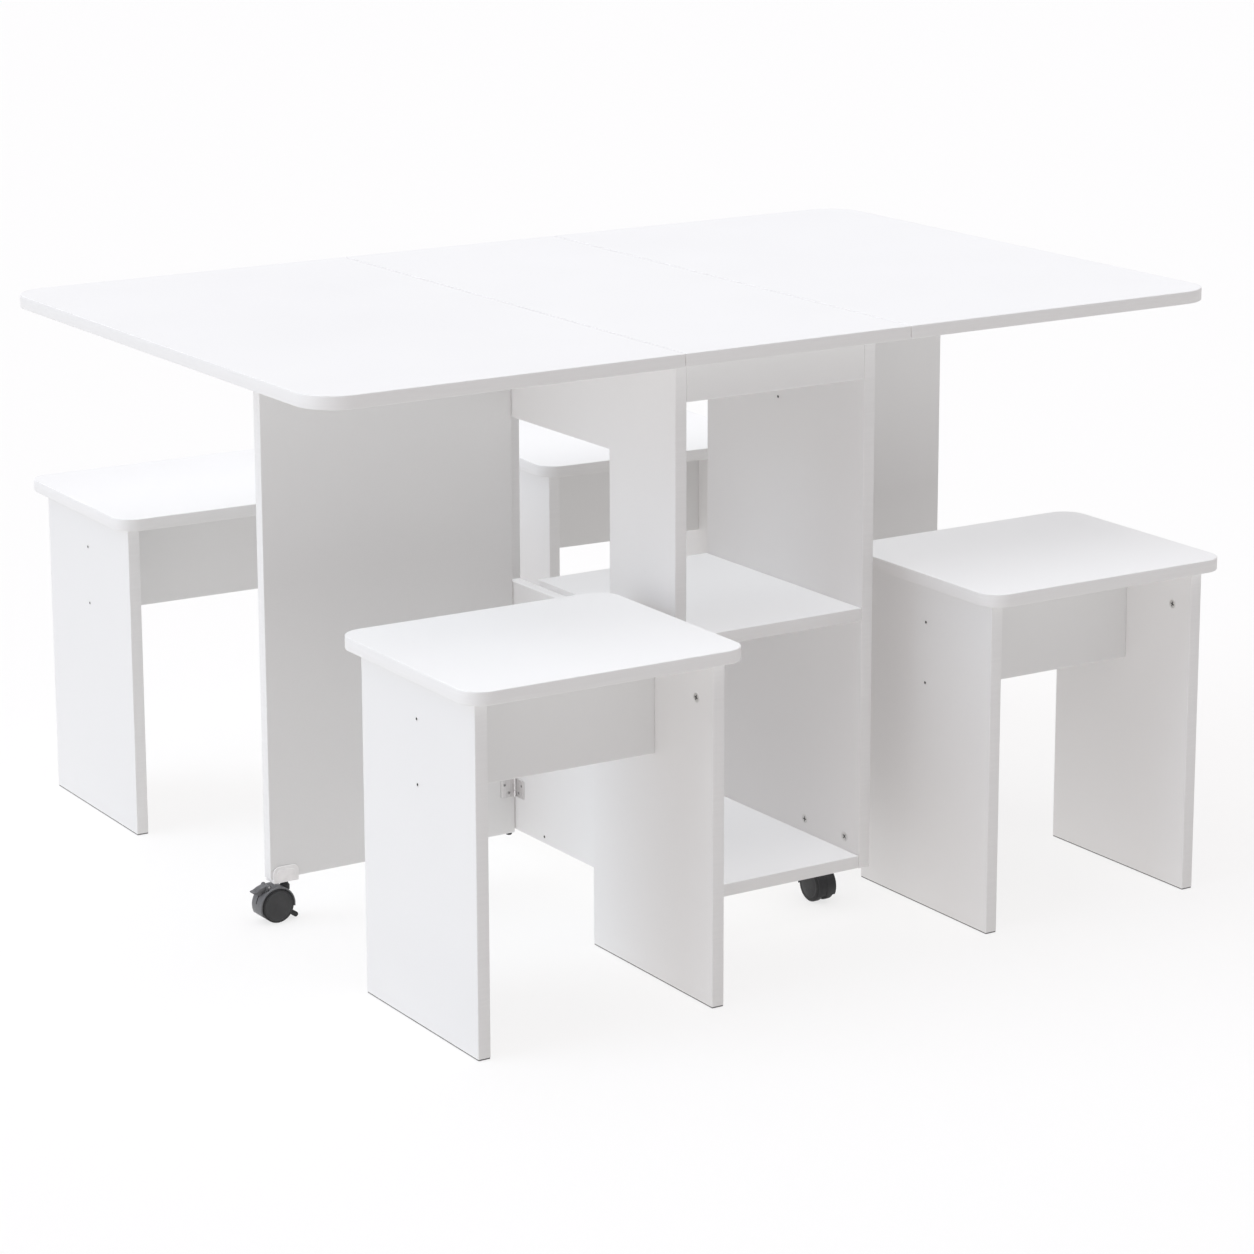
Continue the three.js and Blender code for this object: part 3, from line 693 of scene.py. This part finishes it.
def caster(tag, fork_body, wheel_body, brake_body, place, neck_top, fork_node, wheel_node, brake_node=None):
    """Twin-wheel caster on the Z axis, trailing towards -X, with its brake if it has one."""
    shell_mat = HOOD if brake_node else BLACK
    axle = place @ Matrix.Translation((AX, 0, AZ))
    lying = axle @ Matrix.Rotation(-math.pi / 2, 4, "X")  # Z of a turned part becomes +Y

    # wheels: two discs on one axle
    w = Piece("wheels_" + tag, wheel_body, (wheel_node,), "gate_wheel_plastic" if brake_node else "caster_plastic")
    shoulder = 2.0 if brake_node else 4.6
    half = wheel_profile(3.6, 13.6, WHEEL_R, shoulder)
    face = [(18.9, 13.6), (18.5, 13.2), (18.0, 13.2), (17.5, 13.75), (16.4, 14.0), (4.6, 14.0), (0, 14.0)]
    if not brake_node:
        face = [(16.4, 13.6), (15.6, 13.3), (14.6, 13.6), (8.2, 13.9), (0, 13.9)]
    pts = half + face
    count_half = len(half)
    full = [(r, -y) for r, y in reversed(pts)] + pts
    tags = []
    for i in range(len(full) - 1):
        j = min(i, len(full) - 2 - i)  # distance from either end
        tags.append(1 if j < len(face) else 0)
    w.add(turned_piece(full, 64, tags), lying, [TYRE, DISC if brake_node else BLACK])
    w.done()

    # hood over the wheels
    h = Piece("hood_" + tag, fork_body, (fork_node,), "gate_caster_plastic" if brake_node else "caster_plastic")
    ro, ri, yy = HOOD_OUT, 22.2, 13.0
    prof = []
    for k in range(6):
        a = math.pi / 2 * k / 5
        prof.append((ro - 1.5 + 1.5 * math.cos(a), yy - 1.5 + 1.5 * math.sin(a)))
    prof += [(ri + 0.3, yy), (ri, yy - 0.3)]
    prof = prof + [(r, -y) for r, y in reversed(prof)]
    a0, a1 = -8, 205
    h.add(sector(prof, a0, a1, 64), axle, [shell_mat])
    # raised spine over the hood, where the two halves meet
    spine = [(ro + 0.55, -1.6), (ro + 0.75, 0), (ro + 0.55, 1.6), (ro - 0.8, 2.2), (ro - 0.8, -2.2)]
    h.add(sector(spine, 118 if brake_node else 20, 146 if brake_node else 203, 40), axle, [shell_mat])
    if brake_node:  # slot below the pedal, and its branch towards the near side, drawn as thin near-black strips on the hood: painted shade of the slot
        h.add(sector([(ro + 0.14, -0.9), (ro + 0.14, 0.9), (ro - 0.6, 0.9), (ro - 0.6, -0.9)], 147, 172, 16), axle, [RECESS_SHADE])
        for y in (-1, 1):
            for i in range(6):
                a, c = 147 - 5.0 * i, y * (1.2 + 1.75 * i)
                h.add(sector([(ro + 0.14, c - 1.0), (ro + 0.14, c + 1.0), (ro - 0.6, c + 1.0), (ro - 0.6, c - 1.0)], a - 5.4, a, 3), axle, [RECESS_SHADE])
    # web between the wheels
    web = [(8.0, -2.4), (ri + 0.6, -2.4), (ri + 0.6, 2.4), (8.0, 2.4)]
    h.add(sector(web, a0 + 1, a1 - 1, 40), axle, [BLACK])
    h.add(turned_piece([(0, -2.9), (8.2, -2.9), (8.6, -2.5), (8.6, 2.5), (8.2, 2.9), (0, 2.9)], 36), lying, [BLACK])
    # neck up to the seat, ribbed at its foot
    top = neck_top
    neck = [(0, 38), (6.4, 38), (6.4, 43.4), (5.6, 44.6), (4.6, 45.6), (4.3, 47.2), (4.3, top - 1.1), (5.6, top - 0.8), (5.8, top - 0.3), (5.6, top), (0, top)]
    h.add(turned_piece(neck, 36), place, [BLACK])
    if brake_node:
        t = math.radians(-33.5)
        tail = place @ Matrix.Translation((AX, 0, AZ)) @ Matrix.Rotation(-t, 4, "Y")
        blade = [(9, -2.4), (24.0, -2.0), (33.4, -2.7), (35.6, -1.6), (36.0, 1.0), (34.2, 2.4), (24.0, 2.1), (9, 2.2)]
        h.add(flat_piece(blade, [0.3, 4, 1.6, 1.2, 1.4, 1.6, 6, 0.3], 4.4, soft(0.8), seg=4), tail @ axes((0, 2.2, 0), X, Z, NEG_Y), [BLACK])
        paddle = [(24.6, -2.3), (33.4, -2.7), (35.7, -1.6), (36.2, 1.6), (34.2, 3.8), (24.6, 3.4)]
        h.add(flat_piece(paddle, [0.8, 1.6, 1.2, 1.4, 1.6, 0.8], 12.0, soft(0.8), seg=4), tail @ axes((0, 6.0, 0), X, Z, NEG_Y), [BLACK])
        hx = AX + 26.9 * math.cos(math.radians(112))
        hz = AZ + 26.9 * math.sin(math.radians(112))
        for y in (-8.6, 6.5):
            ear = [(hx - 3.4, hz - 3.6), (hx + 3.4, hz - 3.6), (hx + 2.6, hz + 2.6), (hx - 2.6, hz + 2.6)]
            h.add(flat_piece(ear, [0.4, 0.4, 2.4, 2.4], 2.1, soft(0.45), seg=6), place @ axes((0, y + 2.1, 0), X, Z, NEG_Y), [shell_mat])
        h.add(turned_piece([(0, -8.9), (1.15, -8.9), (1.35, -8.6), (1.35, 8.6), (1.15, 8.9), (0, 8.9)], 20), place @ Matrix.Translation((hx, 0, hz)) @ Matrix.Rotation(-math.pi / 2, 4, "X"), [STEEL_DARK])
        h.done()
        # brake pedal: a wing that follows the hood and flares up at its tip
        p = Piece("pedal_" + tag, brake_body, (brake_node,), "brake_plastic")
        wing = [
            (hx + 1.6, hz - 1.6), (hx + 2.3, hz + 1.0), (hx - 0.6, hz + 2.5), (AX - 20.4, AZ + 24.2), (AX - 25.4, AZ + 21.2),
            (AX - 29.9, AZ + 20.4), (AX - 30.2, AZ + 18.6), (AX - 26.4, AZ + 17.9), (AX - 20.8, AZ + 15.6), (AX - 17.2, AZ + 18.7),
        ]
        p.add(flat_piece(wing, [1.2, 1.2, 1.4, 3, 6, 0.7, 0.7, 5, 1.0, 5], 12.0, soft(0.8), seg=4), place @ axes((0, 6.0, 0), X, Z, NEG_Y), [shell_mat])
        for i in range(4):
            d = Vector((-29.4 + 20.6, 0, 20.0 - 24.4)).normalized()
            c = Vector((AX - 21.6, 0, AZ + 23.5)) + d * (1.9 * i)
            c.z -= 0.18 * i * i * 0.2
            rib = [(c.x - 0.45, c.z - 0.9), (c.x + 0.45, c.z - 0.9), (c.x + 0.35, c.z + 0.55), (c.x - 0.35, c.z + 0.55)]
            p.add(flat_piece(rib, [0.2, 0.2, 0.3, 0.3], 10.4, soft(0.2, 2), seg=3), place @ axes((0, 5.2, 0), X, Z, NEG_Y), [shell_mat])
        p.done()
    else:
        h.done()


gate_set("left", Matrix.Identity(4), "front", "rear")
gate_set("right", HALF_TURN, "rear", "front")
board("base_board", "cabinet", "bottom_panel", rectangle(-BOARD_X, BOARD_X, -CAB_D, CAB_D), sharp, Matrix.Translation((0, 0, 60)))

for end, ey in (("front", -1), ("rear", 1)):
    for side, sx in (("left", -1), ("right", 1)):
        turn = Matrix.Rotation(math.pi / 2 if ey < 0 else -math.pi / 2, 4, "Z")
        tag = f"{end}_{side}"
        caster(tag, "caster_" + tag, "wheels_" + tag, None, Matrix.Translation((118 * sx, 272 * ey, 0)) @ turn, 59.7, f"caster_fork_{tag}", f"caster_wheels_{tag}")

# ---------------------------------------------------------------- stools
for name, x, y, deg in STOOLS:
    m = Matrix.Translation((x, y, 0)) @ Matrix.Rotation(math.radians(deg), 4, "Z")
    body = "stool_" + name
    s = dict(slot="stool_board")
    board(body + "_seat_board", body, body + "_seat", rectangle(-184, 184, -157, 157), [30] * 4, m @ Matrix.Translation((0, 0, STOOL_H - T)), seg=12, **s)
    leg_top = STOOL_H - T - 0.3
    lo = -184 + 19.5
    for k, x0 in (("a", lo), ("b", -lo - T)):
        board(f"{body}_leg_board_{k}", body, f"{body}_leg_{k}", rectangle(-132, 132, 1.1, leg_top), sharp, m @ axes((x0, 0, 0), Y, Z, X), **s)
        # dark strip under the leg, standing for the contact shadow where the foot meets the floor: painted shadow
        g = Piece(f"{body}_foot_shadow_strip_{k}", body, slot="caster_plastic")
        g.add(flat_piece(rectangle(x0 + 0.3, x0 + T - 0.3, -131.7, 131.7), [1.0] * 4, 1.5, soft(0.3, 2)), m, [FOOT_SHADOW])
        g.done()
    board(body + "_rail_board", body, body + "_apron", rectangle(lo + T + 0.3, -lo - T - 0.3, leg_top - 141, leg_top), sharp, m @ axes((0, 8, 0), X, Z, NEG_Y), **s)
    f = Piece(body + "_fittings", body, slot="hinge_steel")
    for sx in (-1, 1):
        for z in (367.5, 290.0):
            confirmat(f, sx * 164.5, 0, z, (sx, 0, 0), m)
        for cy in (-97, 97):
            cam(f, sx * 148.5, cy, 368, (-sx, 0, 0), m, 0.3 + cy / 60 + sx)
    f.done()

# ---------------------------------------------------------------- floor, light, camera
def plane(name, size, z, mat):
    me = bpy.data.meshes.new(name)
    me.from_pydata([(-size, -size, z), (size, -size, z), (size, size, z), (-size, size, z)], [], [(0, 1, 2, 3)])
    me.materials.append(mat)
    o = bpy.data.objects.new(name, me)
    bpy.context.scene.collection.objects.link(o)
    return o


floor_mat, fb = material("pale_floor", (0.34, 0.34, 0.34), 0.9, 0.0, 0.1)
fb.inputs["Emission Color"].default_value = (1, 0.985, 0.968, 1)
fb.inputs["Emission Strength"].default_value = 0.572
plane("floor", 400.0, -0.0006, floor_mat)

world = bpy.data.worlds.new("studio")
world.use_nodes = True
world.node_tree.nodes["Background"].inputs["Color"].default_value = (1, 0.93, 0.95, 1)
world.node_tree.nodes["Background"].inputs["Strength"].default_value = 0.355
bpy.context.scene.world = world


def sun(name, toward, strength, angle, colour=(1, 1, 1), shadow=True):
    """Soft light from the direction toward. Without a shadow it stands for the light that a
    white studio sends into every corner."""
    l = bpy.data.lights.new(name, "SUN")
    l.energy = strength
    l.angle = math.radians(angle)
    l.color = colour
    l.use_shadow = shadow
    o = bpy.data.objects.new(name, l)
    o.rotation_euler = Vector(toward).to_track_quat("Z", "Y").to_euler()
    bpy.context.scene.collection.objects.link(o)
    return o


sun("overhead", (-0.20, 0.15, 1.0), 1.0, 70)
sun("overhead_fill", (0, 0, 1.0), 1.57, 30, (0.914, 0.949, 1.0), shadow=False)
sun("left_side", (-1.0, 0.25, 0.50), 0.94, 50, (0.76, 0.88, 1.0))
sun("left_fill", (-1.0, 0, 0), 0.31, 4, (1.0, 0.93, 0.95), shadow=False)

cam_data = bpy.data.cameras.new("camera")
cam_data.sensor_width = 36
cam_data.lens = 36 * 3865.5 / 1254
cam_data.shift_x = -0.0320
cam_data.shift_y = -0.10
cam_data.clip_end = 200
camera = bpy.data.objects.new("camera", cam_data)
camera.location = (OX - 2.5887, OY - 4.0658, 1.58849)
camera.rotation_euler = (math.pi / 2 - 0.22705, 0, -0.58092)
bpy.context.scene.collection.objects.link(camera)
bpy.context.scene.camera = camera

bpy.context.scene.view_settings.view_transform = "Standard"
bpy.context.scene.view_settings.look = "None"
